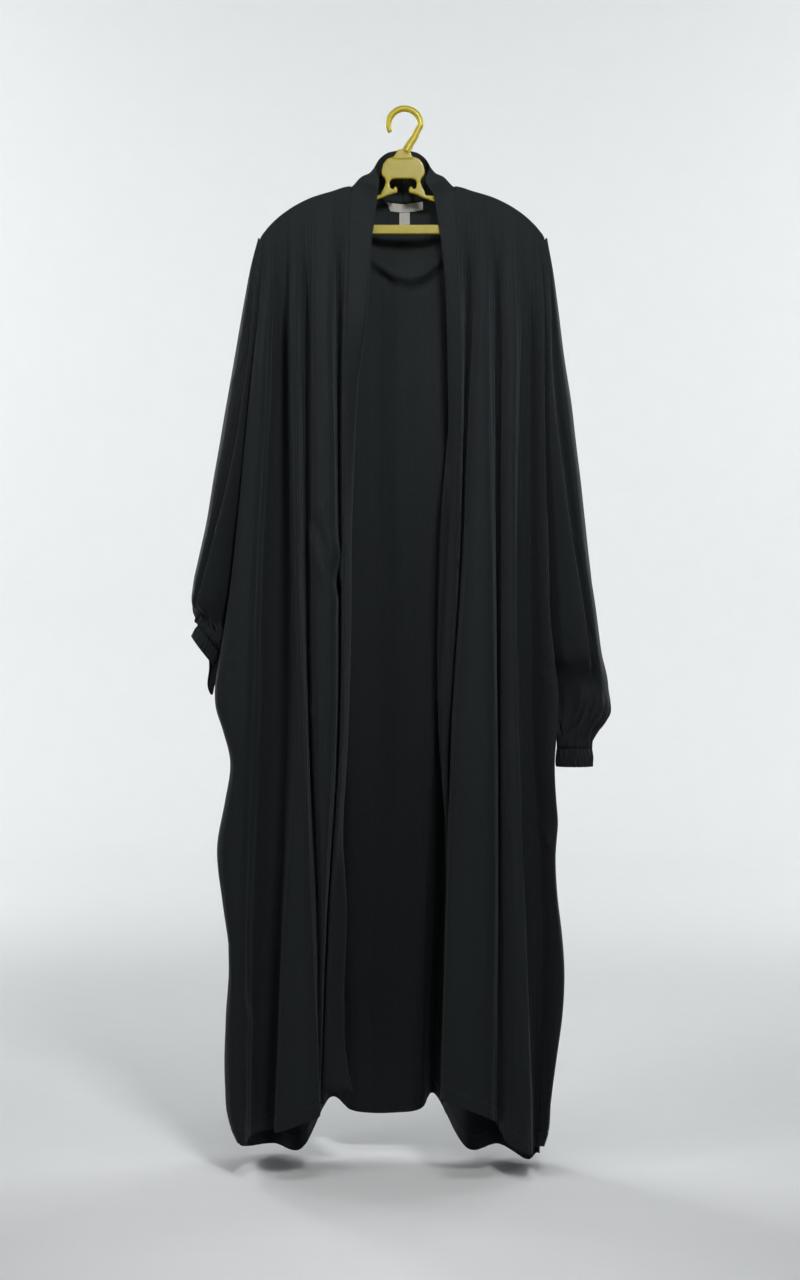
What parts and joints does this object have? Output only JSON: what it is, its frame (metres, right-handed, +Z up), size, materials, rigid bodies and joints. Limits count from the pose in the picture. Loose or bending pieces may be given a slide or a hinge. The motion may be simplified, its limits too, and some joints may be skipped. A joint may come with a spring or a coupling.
{
  "type": "prayer dress on a hanger",
  "caption": "Open-front long prayer dress in batwing cut with a shawl band and gathered cuffs, hanging on a plastic hanger.",
  "frame": {"origin": "inside top of the hanger's hook, where it hangs on its rail", "axes": "+Z up; the open front faces -Y; the wearer's left side is at +X"},
  "size_m": [0.6034, 0.2236, 1.5154],
  "materials": {
    "crepe": "matt crinkled black crepe",
    "label": "white woven satin label, bare",
    "plastic": "translucent yellow moulding"
  },
  "bodies": {
    "root": {"front_left": "crepe", "front_right": "crepe", "back": "crepe", "band_left": "crepe", "band_right": "crepe", "collar_left": "crepe", "collar_right": "crepe", "sleeve_left": "crepe", "sleeve_right": "crepe", "cuff_left": "crepe", "cuff_right": "crepe", "neck_label": "label", "size_tab": "label", "hanger": "plastic"}
  },
  "joints": []
}
